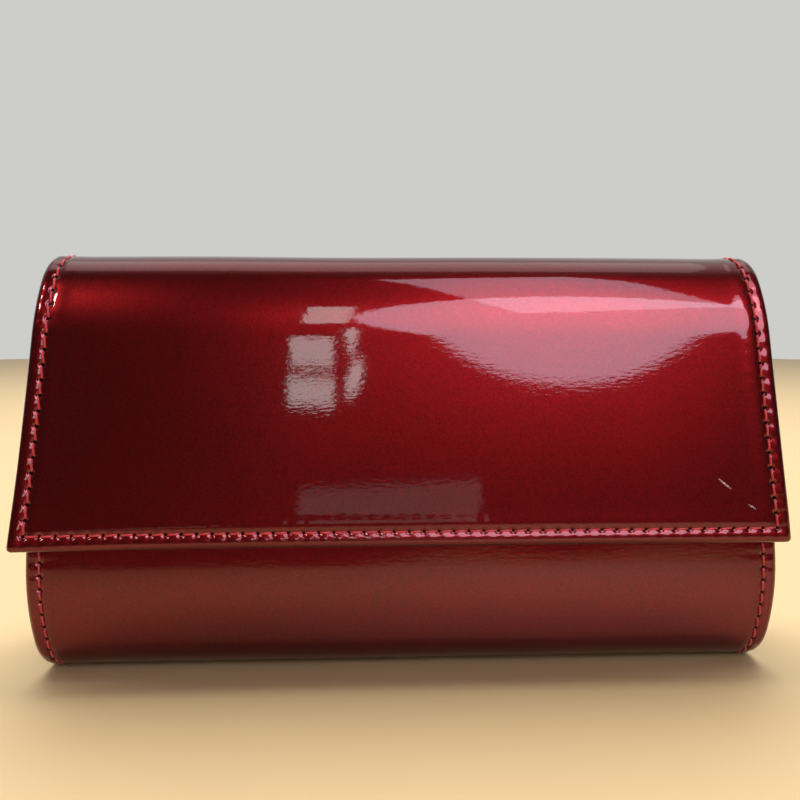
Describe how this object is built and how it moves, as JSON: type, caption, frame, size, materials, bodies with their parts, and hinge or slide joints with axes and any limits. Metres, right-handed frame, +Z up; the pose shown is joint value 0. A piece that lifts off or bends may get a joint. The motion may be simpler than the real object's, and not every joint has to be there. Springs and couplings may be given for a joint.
{
  "type": "clutch purse",
  "caption": "Flap clutch bag of glossy red patent sheet, standing on its base, with pleated side gussets, a magnetic snap, and slip and zipped inner pockets.",
  "frame": {"origin": "under the middle of the bag, on the surface that it stands on", "axes": "+Z up, +X along the bag's width, and the flap faces -Y"},
  "size_m": [0.255, 0.052, 0.142],
  "materials": {
    "patent_skin": "pearl patent gloss",
    "foam": "matte",
    "board": "matte",
    "thread": "satin",
    "lining_cloth": "satin",
    "zip_tape": "matte",
    "zip_rows": "satin",
    "nickel": "polished nickel",
    "magnet": "matte"
  },
  "bodies": {
    "bag_body": {"body_skin": "patent_skin", "body_foam": "foam", "body_topstitching": "thread", "front_board": "board", "base_board": "board", "back_board": "board", "shell_lining": "lining_cloth", "back_facing": "patent_skin", "slip_pocket": "lining_cloth", "zip_pouch": "lining_cloth", "zip_tapes": "zip_tape", "zip_rows": "zip_rows", "zip_stops": "nickel", "snap_socket_case": "nickel", "snap_socket_magnet": "magnet", "snap_socket_plate": "nickel", "snap_socket_washer": "nickel", "gusset_left": "patent_skin", "gusset_right": "patent_skin", "gusset_lining_left": "lining_cloth", "gusset_lining_right": "lining_cloth"},
    "flap": {"flap_skin": "patent_skin", "flap_foam": "foam", "flap_board": "board", "flap_lining": "lining_cloth", "flap_topstitching": "thread", "snap_stud": "nickel", "snap_stud_washer": "nickel"},
    "zip_slider": {"zip_slider": "nickel"},
    "zip_pull": {"zip_pull": "nickel"}
  },
  "joints": [
    {"name": "flap_hinge", "type": "hinge", "parent": "bag_body", "child": "flap", "pos_m": [0, 0.02219, 0.13301], "axis": [-1, 0, 0], "range_deg": [0, 150]},
    {"name": "zip_slide", "type": "slide", "parent": "bag_body", "child": "zip_slider", "axis": [-1, 0, 0], "range_m": [0, 0.118]},
    {"name": "pull_swing", "type": "hinge", "parent": "zip_slider", "child": "zip_pull", "pos_m": [0.059, 0.01778, 0.091], "axis": [-1, 0, 0], "range_deg": [0, 170]}
  ]
}
